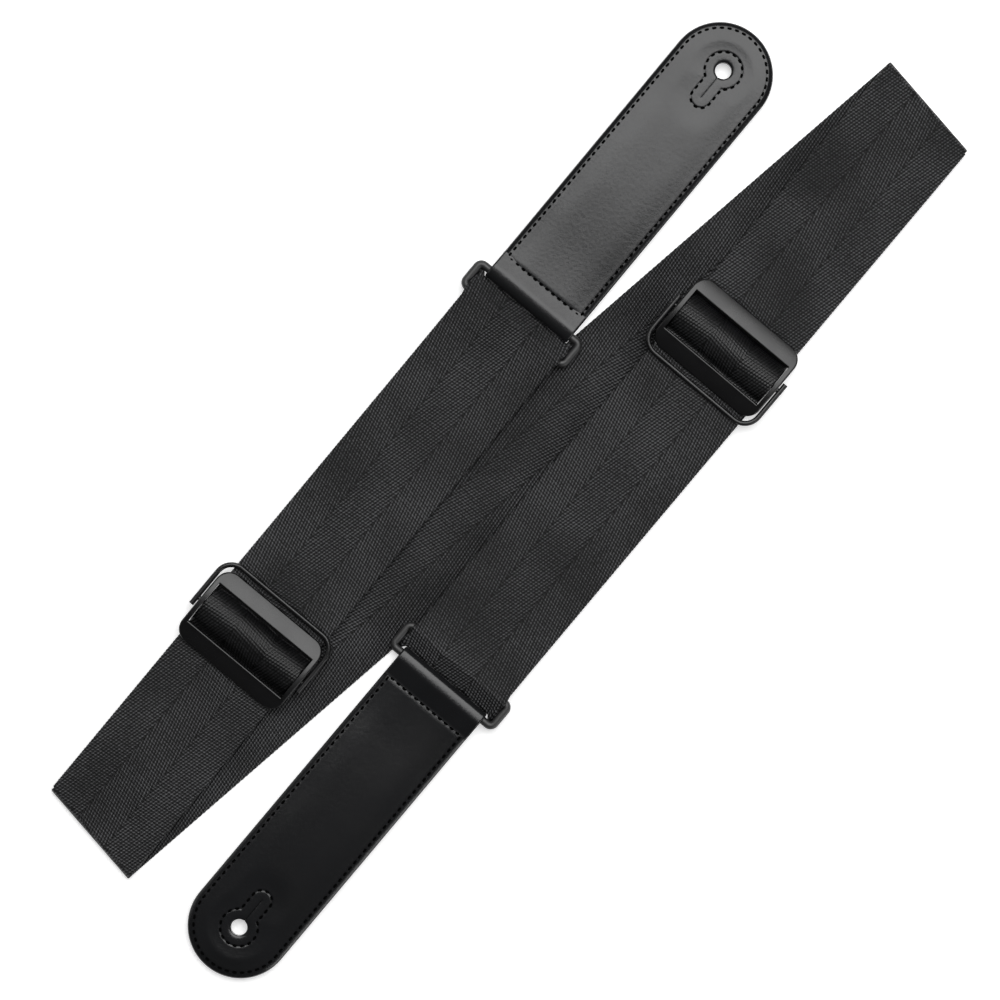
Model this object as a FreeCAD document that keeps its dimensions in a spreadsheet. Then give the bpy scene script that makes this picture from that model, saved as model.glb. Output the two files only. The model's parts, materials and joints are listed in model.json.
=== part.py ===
import FreeCAD
import Part
import Sketcher
import math
import os

# A webbing guitar strap lying on a surface, folded flat like a Z.
# One length of webbing carries, at each end, a slider with a bail, a rectangular ring and a
# leather tab with a button hole.  X runs along the strap, Z is up, and the origin is under the
# middle of the folded strap, on the surface that it lies on.

DIMENSIONS = {
    # webbing
    "webbing_width": 50.0,
    "webbing_thickness": 1.2,
    "middle_length": 470.6,
    "middle_turn": -8.06,
    "middle_centre_x": 2.94,
    "middle_centre_y": -0.65,
    "layer_gap": 0.5,
    "resting_gap": 0.1,
    "cut_margin": 1.0,
    "fold_inner_radius": 0.9,
    # slider: frame, centre bar and the webbing sewn round it
    "frame_length": 36.0,
    "frame_width": 55.5,
    "frame_height": 5.7,
    "frame_arch": 45.0,
    "frame_bar": 8.0,
    "frame_cheek": 2.2,
    "frame_corner": 6.5,
    "frame_underside": 4.6,
    "frame_relief": 1.0,
    "frame_edge_round": 0.8,
    "bar_width": 5.0,
    "bar_thickness": 2.2,
    "bar_height": 6.1,
    "bar_side_gap": 0.3,
    "journal_radius": 1.1,
    "journal_clearance": 0.05,
    "wrap_gap": 0.05,
    "wrap_angle": 50.0,
    "wrap_foot_radius": 2.0,
    "sewn_length": 22.0,
    "sewn_slope": 30.0,
    "tail_margin": 1.0,
    "passing_slope": 4.0,
    "passing_radius": 60.0,
    "seam_margin": 2.0,
    "seam_thread": 0.6,
    "seam_relief": 0.15,
    "seam_first": 12.5,
    "seam_second": 19.5,
    # bail
    "bail_reach": 22.3,
    "bail_tail": 4.0,
    "bail_bar": 2.2,
    "bail_height": 3.0,
    "bail_relief": 1.1,
    "bail_relief_margin": 0.8,
    "bail_side_gap": 0.4,
    "bail_corner": 8.5,
    "bail_edge_round": 1.0,
    # ring
    "ring_wire": 3.5,
    "ring_width": 58.0,
    "ring_slot": 8.0,
    "ring_corner": 2.2,
    "ring_height": 4.75,
    "loop_gap": 0.1,
    "loop_rise": 12.0,
    "loop_bend_radius": 30.0,
    "loop_droop": 25.5,
    "loop_tip_radius": 0.95,
    # leather tab
    "leather_width": 44.8,
    "leather_front_thickness": 1.4,
    "leather_core_thickness": 1.4,
    "leather_back_thickness": 1.0,
    "leather_slope": 35.0,
    "leather_foot_radius": 5.0,
    "leather_lift_slope": 20.0,
    "leather_lift_radius": 3.0,
    "leather_tail": 16.0,
    "core_inset": 4.0,
    "core_start": 17.0,
    "back_start": 11.4,
    "thread_width": 0.7,
    "thread_relief": 0.3,
    "stitch_inset": 2.6,
    "button_hole_radius": 3.5,
    "button_slit_length": 14.8,
    "button_slit_width": 0.8,
    "keyhole_radius": 8.0,
    "keyhole_slot_half": 4.4,
    "keyhole_slot_end": 14.8,
    # distances along each end from its fold
    "right_turn": 1.3,
    "right_slider": 107.0,
    "right_ring": 286.4,
    "right_hole": 419.9,
    "right_tip": 440.3,
    "right_seam": 301.6,
    "left_turn": 180.95,
    "left_slider": 133.7,
    "left_ring": 314.8,
    "left_hole": 453.8,
    "left_tip": 475.4,
    "left_seam": 332.0,
}

doc = FreeCAD.newDocument("guitar_strap")
sheet = doc.addObject("Spreadsheet::Sheet", "Dims")
for row, (alias, number) in enumerate(DIMENSIONS.items(), start=1):
    sheet.set(f"A{row}", alias.replace("_", " "))
    sheet.set(f"B{row}", str(number))
    sheet.setAlias(f"B{row}", alias)
doc.recompute()


def dim(alias):
    """Value of a cell of the sheet."""
    return float(getattr(sheet, alias))


# ---------------------------------------------------------------- heights of the layers
thick = dim("webbing_thickness")
width = dim("webbing_width")
fold_mid_radius = dim("fold_inner_radius") + thick / 2
fold_outer_radius = dim("fold_inner_radius") + thick
return_mid = thick + dim("layer_gap") + thick / 2
run_mid = thick / 2 + 2 * fold_mid_radius
wrap_radius = dim("bar_thickness") / 2 + dim("wrap_gap") + thick / 2
hump_radius = wrap_radius + thick + dim("wrap_gap")
tail_mid = return_mid + thick + dim("wrap_gap")
passing_mid = tail_mid + thick + dim("wrap_gap")
bar_flat = dim("bar_width") - dim("bar_thickness")
bar_height = dim("bar_height")
loop_radius = dim("ring_wire") / 2 + dim("loop_gap") + thick / 2
ring_pitch = dim("ring_slot") + dim("ring_wire")
resting_mid = return_mid + thick + dim("resting_gap")

front_thick = dim("leather_front_thickness")
leather_radius = dim("ring_wire") / 2 + dim("loop_gap") + front_thick / 2
back_bottom = dim("ring_height") - leather_radius - front_thick / 2
core_bottom = back_bottom + dim("leather_back_thickness")
leather_tail_mid = core_bottom + front_thick / 2
leather_top_mid = leather_tail_mid + front_thick
leather_top = leather_top_mid + front_thick / 2


# ---------------------------------------------------------------- drawing helpers
def vec(x, y, z=0.0):
    return FreeCAD.Vector(x, y, z)


def origin_plane(body, role):
    return next(item for item in body.Origin.OriginFeatures if item.Role == role)


def add_sketch(body, name, role="XY_Plane", height=0.0):
    """Sketch on one of the body's origin planes, moved along the plane's normal."""
    sketch = body.newObject("Sketcher::SketchObject", name)
    sketch.AttachmentSupport = [(origin_plane(body, role), "")]
    sketch.MapMode = "FlatFace"
    sketch.AttachmentOffset = FreeCAD.Placement(vec(0, 0, height), FreeCAD.Rotation())
    return sketch


def bind(sketch, constraint, expression):
    """Add a dimension to the sketch and bind it to the sheet."""
    index = sketch.addConstraint(constraint)
    sketch.setExpression(f"Constraints[{index}]", expression)


def draw_rectangle(sketch, length, breadth, start=None):
    """Rectangle of sheet-bound size, centred on the sketch's X axis; it starts at `start`
    along X, or is centred on the origin."""
    first = sketch.GeometryCount
    corners = [vec(1, -2), vec(5, -2), vec(5, 2), vec(1, 2)]
    if start is None:
        corners = [vec(-2, -2), vec(2, -2), vec(2, 2), vec(-2, 2)]
    for here, there in zip(corners, corners[1:] + corners[:1]):
        sketch.addGeometry(Part.LineSegment(here, there), False)
    for side in range(4):
        following = first + (side + 1) % 4
        sketch.addConstraint(Sketcher.Constraint("Coincident", first + side, 2, following, 1))
    sketch.addConstraint(Sketcher.Constraint("Horizontal", first))
    sketch.addConstraint(Sketcher.Constraint("Vertical", first + 1))
    sketch.addConstraint(Sketcher.Constraint("Horizontal", first + 2))
    if start is None:
        sketch.addConstraint(Sketcher.Constraint("Vertical", first + 3))
        sketch.addConstraint(Sketcher.Constraint("Symmetric", first, 1, first + 2, 1, -1, 1))
    else:
        level = Sketcher.Constraint("Symmetric", first, 1, first + 2, 2, -1)
        sketch.addConstraint(level)
        bind(sketch, Sketcher.Constraint("DistanceX", -1, 1, first, 1, 1.0), start)
    bind(sketch, Sketcher.Constraint("DistanceX", first, 1, first, 2, 4.0), length)
    bind(sketch, Sketcher.Constraint("DistanceY", first + 1, 1, first + 1, 2, 4.0), breadth)


def draw_circle(sketch, radius, along=None):
    """Circle of sheet-bound radius on the sketch's X axis."""
    index = sketch.addGeometry(Part.Circle(vec(1 if along else 0, 0), vec(0, 0, 1), 1.0), False)
    if along:
        sketch.addConstraint(Sketcher.Constraint("PointOnObject", index, 3, -1))
        bind(sketch, Sketcher.Constraint("DistanceX", -1, 1, index, 3, 1.0), along)
    else:
        sketch.addConstraint(Sketcher.Constraint("Coincident", index, 3, -1, 1))
    bind(sketch, Sketcher.Constraint("Radius", index, 1.0), radius)


def draw_tab_outline(sketch, start, centre, radius):
    """Outline with a square end at x = start and a round end about x = centre."""
    low = sketch.addGeometry(Part.LineSegment(vec(start, -radius), vec(centre, -radius)), False)
    round_end = Part.Circle(vec(centre, 0), vec(0, 0, 1), radius)
    quarter = math.pi / 2
    tip = sketch.addGeometry(Part.ArcOfCircle(round_end, -quarter, quarter), False)
    high = sketch.addGeometry(Part.LineSegment(vec(centre, radius), vec(start, radius)), False)
    end = sketch.addGeometry(Part.LineSegment(vec(start, radius), vec(start, -radius)), False)
    for index in (low, tip, high, end):
        sketch.addConstraint(Sketcher.Constraint("Block", index))


def walk(moves, heading):
    """Geometry of a path of straight runs and tangent arcs that starts at the origin; a positive
    arc turns anticlockwise."""
    here = vec(0, 0)
    angle = math.radians(heading)
    edges = []
    for kind, size, *turn in moves:
        if kind == "line":
            there = here + vec(math.cos(angle), math.sin(angle)) * size
            edges.append(Part.LineSegment(here, there))
        else:
            sweep = math.radians(turn[0])
            side = math.copysign(size, sweep)
            centre = here + vec(-math.sin(angle), math.cos(angle)) * side
            points = []
            for part in (0.5, 1.0):
                facing = angle + part * sweep
                points.append(centre - vec(-math.sin(facing), math.cos(facing)) * side)
            edges.append(Part.Arc(here, points[0], points[1]))
            angle += sweep
            there = points[1]
        here = there
    return edges


def ramp(height, slope, first_radius, last_radius):
    """Moves of an S-shaped change of height for a path heading along +X, and its run."""
    angle = math.radians(slope)
    radii = first_radius + last_radius
    straight = (abs(height) - radii * (1 - math.cos(angle))) / math.sin(angle)
    turn = math.copysign(slope, height)
    moves = [("arc", first_radius, turn), ("line", straight), ("arc", last_radius, -turn)]
    return moves, radii * math.sin(angle) + straight * math.cos(angle)


def mirrored(moves):
    """The same moves with every turn the other way, for a path heading along -X."""
    return [(move[0], move[1], *[-turn for turn in move[2:]]) for move in moves]


def add_pad(body, sketch, length, name="Pad", symmetric=False):
    pad = body.newObject("PartDesign::Pad", name)
    pad.Profile = sketch
    pad.SideType = "Symmetric" if symmetric else "One side"
    pad.setExpression("Length", length)
    return pad


def add_pocket(body, sketch, name="Pocket"):
    """Cut through everything, both ways from the sketch."""
    pocket = body.newObject("PartDesign::Pocket", name)
    pocket.Profile = sketch
    pocket.Type = "ThroughAll"
    pocket.SideType = "Symmetric"
    return pocket


parts = []


def add_body(label, placement):
    body = doc.addObject("PartDesign::Body", label)
    body.Label = label
    body.Placement = placement
    parts.append(body)
    return body


def sweep_strip(body, moves, heading, breadth, thickness):
    """Flat strip swept along a path in the body's XZ plane, from the body's origin."""
    section = add_sketch(body, "Section", "YZ_Plane")
    draw_rectangle(section, breadth, thickness)
    path = add_sketch(body, "Path", "XZ_Plane")
    edges = walk(moves, heading)
    for edge in edges:
        index = path.addGeometry(edge, False)
        path.addConstraint(Sketcher.Constraint("Block", index))
    pipe = body.newObject("PartDesign::AdditivePipe", "Strip")
    pipe.Profile = section
    pipe.Spine = (path, [f"Edge{number}" for number in range(1, len(edges) + 1)])


def placed(frame, x, z, tilt=0.0):
    """Place in an end's own frame: x from its fold, z up, tilted nose-up about its Y axis."""
    return frame * FreeCAD.Placement(vec(x, 0, z), FreeCAD.Rotation(vec(0, 1, 0), -tilt))


# ---------------------------------------------------------------- the middle of the webbing
middle_spin = FreeCAD.Rotation(vec(0, 0, 1), dim("middle_turn"))
middle_frame = FreeCAD.Placement(vec(dim("middle_centre_x"), dim("middle_centre_y"), 0), middle_spin)
middle = add_body("webbing_middle", middle_frame)
outline = add_sketch(middle, "Outline")
flat_length = "Dims.middle_length - 2 * (Dims.fold_inner_radius + Dims.webbing_thickness)"
draw_rectangle(outline, flat_length, "Dims.webbing_width")
add_pad(middle, outline, "Dims.webbing_thickness")


def fold_frame(side):
    """Frame of one end: origin under its fold, X along its webbing."""
    reach = -dim("middle_length") / 2 if side == "right" else dim("middle_length") / 2
    origin = middle_frame.multVec(vec(reach, 0, 0))
    return FreeCAD.Placement(origin, FreeCAD.Rotation(vec(0, 0, 1), dim(f"{side}_turn")))


def bend_frame(side):
    """Frame of the fold's bend: at the inner edge of the fold, X towards the middle."""
    reach = -dim("middle_length") / 2 + fold_outer_radius
    spin = middle_spin
    if side == "left":
        reach = -reach
        spin = middle_spin * FreeCAD.Rotation(vec(0, 0, 1), 180)
    return FreeCAD.Placement(middle_frame.multVec(vec(reach, 0, 0)), spin)


# ---------------------------------------------------------------- webbing pieces of an end
def build_fold(side):
    body = add_body(f"webbing_fold_{side}", bend_frame(side) * FreeCAD.Placement(
        vec(0, 0, thick / 2), FreeCAD.Rotation()))
    bend = [("arc", fold_mid_radius, -180.0)]
    sweep_strip(body, bend, 180.0, "Dims.webbing_width", "Dims.webbing_thickness")


def build_run(side, frame):
    """Flat webbing from the fold's bend to the slider; its first edge follows the bend."""
    body = add_body(f"webbing_run_{side}", placed(frame, 0, run_mid - thick / 2))
    outline = add_sketch(body, "Outline")
    to_end = frame.inverse()
    far = dim(f"{side}_slider") - dim("frame_length") / 2
    bend = bend_frame(side)
    near_edge = [to_end.multVec(bend.multVec(vec(0, y, 0))) for y in (-width / 2, width / 2)]
    corners = [near_edge[0], vec(far, -width / 2), vec(far, width / 2), near_edge[1]]
    for here, there in zip(corners, corners[1:] + corners[:1]):
        start = vec(here.x, here.y)
        index = outline.addGeometry(Part.LineSegment(start, vec(there.x, there.y)), False)
        outline.addConstraint(Sketcher.Constraint("Block", index))
    add_pad(body, outline, "Dims.webbing_thickness")


def build_hump(side, frame):
    """Webbing that passes under one bar of the frame, over the centre bar and out again."""
    half = dim("frame_length") / 2
    top = bar_height + hump_radius
    foot_radius = dim("wrap_foot_radius")
    rise, rise_run = ramp(top - run_mid, dim("wrap_angle"), foot_radius, hump_radius)
    fall, fall_run = ramp(passing_mid - top, dim("wrap_angle"), hump_radius, foot_radius)
    moves = [("line", half - bar_flat / 2 - rise_run)] + rise + [("line", bar_flat)]
    moves += fall + [("line", half - bar_flat / 2 - fall_run)]
    body = add_body(f"webbing_hump_{side}", placed(frame, dim(f"{side}_slider") - half, run_mid))
    sweep_strip(body, moves, 0.0, "Dims.webbing_width", "Dims.webbing_thickness")


def build_sewn_end(side, frame):
    """Last stretch of the webbing: up to the centre bar, round it, and back over itself."""
    sewn = dim("sewn_length")
    top = bar_height + wrap_radius
    foot_radius = dim("wrap_foot_radius")
    layer = thick + dim("wrap_gap")
    fall, fall_run = ramp(tail_mid - top, dim("wrap_angle"), wrap_radius, foot_radius + layer)
    flat = sewn - bar_flat / 2 - fall_run
    rise_height = bar_height - wrap_radius - return_mid
    rise, rise_run = ramp(rise_height, dim("sewn_slope"), foot_radius + 2 * layer, foot_radius)
    moves = [("line", flat)] + mirrored(rise)
    moves += [("line", sewn + bar_flat / 2 - flat - rise_run), ("arc", wrap_radius, -180.0)]
    moves += [("line", bar_flat)] + fall + [("line", flat)]
    start = dim(f"{side}_slider") + sewn
    body = add_body(f"webbing_sewn_end_{side}", placed(frame, start, return_mid))
    sweep_strip(body, moves, 180.0, "Dims.webbing_width", "Dims.webbing_thickness")


def build_seam(side, frame):
    """Two rows of thread under the sewn end."""
    height = return_mid - thick / 2 - dim("seam_relief")
    body = add_body(f"sewn_end_seam_{side}", placed(frame, dim(f"{side}_slider"), height))
    for name in ("seam_first", "seam_second"):
        row = add_sketch(body, name)
        draw_rectangle(row, "Dims.seam_thread", "Dims.webbing_width - 2 * Dims.seam_margin",
                       f"Dims.{name}")
        add_pad(body, row, "Dims.seam_relief", f"{name}_row")


def strap_bar(side):
    """Distance from the fold to the ring's bar on the webbing side."""
    return dim(f"{side}_ring") - ring_pitch / 2


def build_front_layer(side, frame):
    """Upper layer of webbing from the slider to the ring."""
    rise_angle = math.radians(dim("loop_rise"))
    start = dim(f"{side}_slider") + dim("frame_length") / 2
    drop_radius = dim("passing_radius")
    fall, fall_run = ramp(resting_mid - passing_mid, dim("passing_slope"), drop_radius, drop_radius)
    bend_radius = dim("loop_bend_radius")
    end_x = strap_bar(side) - loop_radius * math.sin(rise_angle)
    end_z = dim("ring_height") + loop_radius * math.cos(rise_angle)
    rise = end_z - resting_mid - bend_radius * (1 - math.cos(rise_angle))
    rise_run = rise / math.tan(rise_angle) + bend_radius * math.sin(rise_angle)
    over_tail = dim("sewn_length") - dim("frame_length") / 2 + dim("tail_margin")
    moves = [("line", over_tail)] + fall
    moves += [("line", end_x - rise_run - fall_run - over_tail - start)]
    moves += [("arc", bend_radius, dim("loop_rise")), ("line", rise / math.sin(rise_angle))]
    body = add_body(f"webbing_front_{side}", placed(frame, start, passing_mid))
    sweep_strip(body, moves, 0.0, "Dims.webbing_width", "Dims.webbing_thickness")


def build_loop(side, frame):
    """Webbing over the ring's bar, drooping beyond it to a tight turn, and back underneath."""
    rise_angle = math.radians(dim("loop_rise"))
    droop = dim("loop_droop")
    droop_angle = math.radians(droop)
    tip_radius = dim("loop_tip_radius")
    drop_start = dim("ring_height") + loop_radius * math.cos(droop_angle)
    drop_end = return_mid + tip_radius * (1 + math.cos(droop_angle))
    drooping = (drop_start - drop_end) / math.sin(droop_angle)
    tip_x = (loop_radius - tip_radius) * math.sin(droop_angle) + drooping * math.cos(droop_angle)
    start_x = strap_bar(side) - loop_radius * math.sin(rise_angle)
    start_z = dim("ring_height") + loop_radius * math.cos(rise_angle)
    place = placed(frame, start_x, start_z, dim("loop_rise"))
    body = add_body(f"webbing_loop_{side}", place)
    around = [("arc", loop_radius, -dim("loop_rise") - droop), ("line", drooping)]
    around += [("arc", tip_radius, droop - 180.0), ("line", tip_x)]
    sweep_strip(body, around, 0.0, "Dims.webbing_width", "Dims.webbing_thickness")


def build_return_layer(side, frame):
    """Lower layer of webbing from the ring back to the slider."""
    start = dim(f"{side}_slider") + dim("sewn_length")
    body = add_body(f"webbing_return_{side}", placed(frame, start, return_mid - thick / 2))
    outline = add_sketch(body, "Outline")
    length = (f"Dims.{side}_ring - (Dims.ring_slot + Dims.ring_wire) / 2"
              f" - Dims.{side}_slider - Dims.sewn_length")
    draw_rectangle(outline, length, "Dims.webbing_width", "0")
    add_pad(body, outline, "Dims.webbing_thickness")


# ---------------------------------------------------------------- metal pieces of an end
TOLERANCE = 0.01


def is_upright(edge):
    return abs(edge.tangentAt(edge.FirstParameter).z) > 1 - TOLERANCE


def round_edges(body, base, picked, radius):
    doc.recompute()
    chosen = [f"Edge{number}" for number, edge in enumerate(base.Shape.Edges, start=1) if picked(edge)]
    fillet = body.newObject("PartDesign::Fillet", "Rounding")
    fillet.Base = (base, chosen)
    fillet.setExpression("Radius", radius)
    return fillet


def draw_above_arch(sketch, half_length, arch_radius, crown):
    """Everything above a shallow arch whose crown is at height `crown`."""
    drop = arch_radius - math.sqrt(arch_radius ** 2 - half_length ** 2)
    spring = crown - drop
    roof = crown + dim("cut_margin")
    shapes = [Part.Arc(vec(-half_length, spring), vec(0, crown), vec(half_length, spring)),
              Part.LineSegment(vec(half_length, spring), vec(half_length, roof)),
              Part.LineSegment(vec(half_length, roof), vec(-half_length, roof)),
              Part.LineSegment(vec(-half_length, roof), vec(-half_length, spring))]
    for shape in shapes:
        index = sketch.addGeometry(shape, False)
        sketch.addConstraint(Sketcher.Constraint("Block", index))


def build_slider_frame(side, frame):
    """Rectangular frame: two wide bars for the webbing to pass under, and deeper cheeks."""
    body = add_body(f"slider_frame_{side}", placed(frame, dim(f"{side}_slider"), dim("frame_underside")))
    outline = add_sketch(body, "Outline")
    draw_rectangle(outline, "Dims.frame_length", "Dims.frame_width")
    block = add_pad(body, outline, "Dims.frame_height", "Block")
    round_edges(body, block, is_upright, "Dims.frame_corner")
    window = add_sketch(body, "Window")
    draw_rectangle(window, "Dims.frame_length - 2 * Dims.frame_bar",
                   "Dims.frame_width - 2 * Dims.frame_cheek")
    add_pocket(body, window, "WindowCut")
    relief = add_sketch(body, "Relief")
    draw_rectangle(relief, "Dims.frame_length + 2 * Dims.cut_margin",
                   "Dims.frame_width - 2 * Dims.frame_cheek")
    underside = body.newObject("PartDesign::Pocket", "ReliefCut")
    underside.Profile = relief
    underside.SideType = "Symmetric"
    underside.setExpression("Length", "2 * Dims.frame_relief")
    bore = add_sketch(body, "Bore", "XZ_Plane")
    bore_radius = "Dims.journal_radius + Dims.journal_clearance"
    index = bore.addGeometry(Part.Circle(vec(0, 1), vec(0, 0, 1), 1.0), False)
    bore.addConstraint(Sketcher.Constraint("PointOnObject", index, 3, -2))
    bind(bore, Sketcher.Constraint("DistanceY", -1, 1, index, 3, 1.0),
         "Dims.bar_height - Dims.frame_underside")
    bind(bore, Sketcher.Constraint("Radius", index, 1.0), bore_radius)
    add_pocket(body, bore, "BoreCut")
    above = add_sketch(body, "AboveArch", "XZ_Plane")
    half_length = dim("frame_length") / 2 + dim("cut_margin")
    draw_above_arch(above, half_length, dim("frame_arch"), dim("frame_height"))
    arch = add_pocket(body, above, "ArchCut")
    outer = dim("frame_length") / 2
    inner = outer - dim("frame_bar")

    def along_bar(edge):
        box = edge.BoundBox
        level = box.YLength > dim("frame_width") / 2 and box.ZMin > dim("frame_relief") + TOLERANCE
        return level and min(abs(abs(box.XMin) - side_x) for side_x in (inner, outer)) < TOLERANCE

    body.Tip = round_edges(body, arch, along_bar, "Dims.frame_edge_round")


def build_slider_bar(side, frame):
    """Flat centre bar with a round journal at each end for the frame and the bail."""
    body = add_body(f"slider_bar_{side}", placed(frame, dim(f"{side}_slider"), bar_height))
    section = add_sketch(body, "Section", "XZ_Plane")
    draw_rectangle(section, "Dims.bar_width", "Dims.bar_thickness")
    flat = add_pad(body, section, "Dims.webbing_width + 2 * Dims.bar_side_gap", "Flat", symmetric=True)
    round_edges(body, flat, lambda edge: edge.Length > dim("webbing_width"),
                "Dims.bar_thickness / 2 - 0.01")
    journal = add_sketch(body, "Journal", "XZ_Plane")
    draw_circle(journal, "Dims.journal_radius")
    length = "Dims.frame_width + 2 * (Dims.bail_side_gap + Dims.bail_bar)"
    body.Tip = add_pad(body, journal, length, "Journals", symmetric=True)


def build_bail(side, frame):
    """Flat-sided loop that turns on the centre bar's ends; its far side crosses the webbing."""
    bottom = bar_height - dim("bail_height") / 2
    body = add_body(f"bail_{side}", placed(frame, dim(f"{side}_slider"), bottom))
    inner = dim("frame_width") / 2 + dim("bail_side_gap")
    outer = inner + dim("bail_bar")
    reach = dim("bail_reach")
    tail = -dim("bail_tail")
    outline = add_sketch(body, "Outline")
    corners = [vec(tail, -outer), vec(reach, -outer), vec(reach, outer), vec(tail, outer),
               vec(tail, inner), vec(reach - dim("bail_bar"), inner),
               vec(reach - dim("bail_bar"), -inner), vec(tail, -inner)]
    for here, there in zip(corners, corners[1:] + corners[:1]):
        index = outline.addGeometry(Part.LineSegment(here, there), False)
        outline.addConstraint(Sketcher.Constraint("Block", index))
    block = add_pad(body, outline, "Dims.bail_height", "Block")

    def upright_at(edge, x):
        return is_upright(edge) and abs(edge.BoundBox.XMin - x) < TOLERANCE

    def along_top(edge):
        box = edge.BoundBox
        return box.ZMin > dim("bail_height") - TOLERANCE and box.XMax > tail + TOLERANCE

    outside = round_edges(body, block, lambda edge: upright_at(edge, reach), "Dims.bail_corner")
    both = round_edges(body, outside, lambda edge: upright_at(edge, reach - dim("bail_bar")),
                       "Dims.bail_corner - Dims.bail_bar")
    round_edges(body, both, along_top, "Dims.bail_edge_round")
    relief = add_sketch(body, "Relief")
    draw_rectangle(relief, "Dims.bail_reach + Dims.cut_margin",
                   "Dims.webbing_width + 2 * Dims.bail_relief_margin", "0")
    underside = body.newObject("PartDesign::Pocket", "ReliefCut")
    underside.Profile = relief
    underside.SideType = "Symmetric"
    underside.setExpression("Length", "2 * Dims.bail_relief")
    bore = add_sketch(body, "Bore", "XZ_Plane")
    index = bore.addGeometry(Part.Circle(vec(0, 1), vec(0, 0, 1), 1.0), False)
    bore.addConstraint(Sketcher.Constraint("PointOnObject", index, 3, -2))
    bind(bore, Sketcher.Constraint("DistanceY", -1, 1, index, 3, 1.0), "Dims.bail_height / 2")
    bind(bore, Sketcher.Constraint("Radius", index, 1.0),
         "Dims.journal_radius + Dims.journal_clearance")
    body.Tip = add_pocket(body, bore, "BoreCut")


def build_ring(side, frame):
    """Rectangular ring of round wire."""
    body = add_body(f"ring_{side}", placed(frame, dim(f"{side}_ring"), dim("ring_height")))
    corner = dim("ring_corner")
    long_side = dim("ring_width") - dim("ring_wire") - 2 * corner
    short_side = ring_pitch - 2 * corner
    quarter = ("arc", corner, -90.0)
    moves = [("line", long_side / 2), quarter, ("line", short_side), quarter, ("line", long_side),
             quarter, ("line", short_side), quarter, ("line", long_side / 2)]
    edges = walk(moves, 90.0)
    path = add_sketch(body, "Path")
    start = vec(-ring_pitch / 2, 0)
    for edge in edges:
        moved = edge.copy()
        moved.translate(start)
        index = path.addGeometry(moved, False)
        path.addConstraint(Sketcher.Constraint("Block", index))
    section = add_sketch(body, "Section", "XZ_Plane")
    draw_circle(section, "Dims.ring_wire / 2", "-(Dims.ring_slot + Dims.ring_wire) / 2")
    pipe = body.newObject("PartDesign::AdditivePipe", "Wire")
    pipe.Profile = section
    pipe.Spine = (path, [f"Edge{number}" for number in range(1, len(edges) + 1)])


# ---------------------------------------------------------------- leather tab of an end
def leather_edge(side):
    """Distance from the fold to the tab's end at the ring."""
    return dim(f"{side}_ring") + ring_pitch / 2 - leather_radius - front_thick / 2


def cut_keyhole(body, hole_x):
    """Button hole and the slit beside it, through the whole thickness."""
    hole = add_sketch(body, "ButtonHole")
    index = hole.addGeometry(Part.Circle(vec(hole_x, 0), vec(0, 0, 1), 1.0), False)
    hole.addConstraint(Sketcher.Constraint("PointOnObject", index, 3, -1))
    hole.addConstraint(Sketcher.Constraint("DistanceX", -1, 1, index, 3, hole_x))
    bind(hole, Sketcher.Constraint("Radius", index, 1.0), "Dims.button_hole_radius")
    add_pocket(body, hole, "ButtonHoleCut")
    slit = add_sketch(body, "Slit")
    start = hole_x - dim("button_slit_length")
    draw_rectangle(slit, "Dims.button_slit_length", "Dims.button_slit_width", str(start))
    body.Tip = add_pocket(body, slit, "SlitCut")


def add_tab_layer(body, side, start, inset, bottom, thickness):
    """Flat layer of the tab in the body's frame, whose origin is at x = start."""
    radius = dim("leather_width") / 2
    centre = dim(f"{side}_tip") - radius - start
    outline = add_sketch(body, "Outline", height=bottom)
    draw_tab_outline(outline, 0.0, centre, radius - inset)
    add_pad(body, outline, thickness, "Layer")
    doc.recompute()
    cut_keyhole(body, dim(f"{side}_hole") - start)


def build_leather_front(side, frame):
    """Top leather: the tab's face, the loop round the ring's bar and the tail sewn inside."""
    slope = dim("leather_slope")
    angle = math.radians(slope)
    foot = dim("leather_foot_radius")
    top = dim("ring_height") + leather_radius
    drop = top - leather_top_mid
    bends = (leather_radius + foot) * (1 - math.cos(angle))
    straight = (drop - bends) / math.sin(angle)
    run = (leather_radius + foot) * math.sin(angle) + straight * math.cos(angle)
    bar_x = dim(f"{side}_ring") + ring_pitch / 2
    start = bar_x + run
    under_bar = dim("ring_height") - leather_radius
    lift_radius = dim("leather_lift_radius")
    lift, lift_run = ramp(leather_tail_mid - under_bar, dim("leather_lift_slope"), lift_radius, lift_radius)
    tail = leather_edge(side) + dim("leather_tail") - bar_x - lift_run
    moves = [("arc", foot, -slope), ("line", straight), ("arc", leather_radius, 180.0 + slope)]
    moves += lift + [("line", tail)]
    body = add_body(f"leather_front_{side}", placed(frame, start, leather_top_mid))
    sweep_strip(body, moves, 180.0, "Dims.leather_width", "Dims.leather_front_thickness")
    add_tab_layer(body, side, start, 0.0, -front_thick / 2, "Dims.leather_front_thickness")


def build_leather_core(side, frame):
    start = leather_edge(side) + dim("core_start")
    body = add_body(f"leather_core_{side}", placed(frame, start, core_bottom))
    add_tab_layer(body, side, start, dim("core_inset"), 0.0, "Dims.leather_core_thickness")


def build_leather_back(side, frame):
    start = leather_edge(side) + dim("back_start")
    body = add_body(f"leather_back_{side}", placed(frame, start, back_bottom))
    add_tab_layer(body, side, start, 0.0, 0.0, "Dims.leather_back_thickness")


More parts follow.
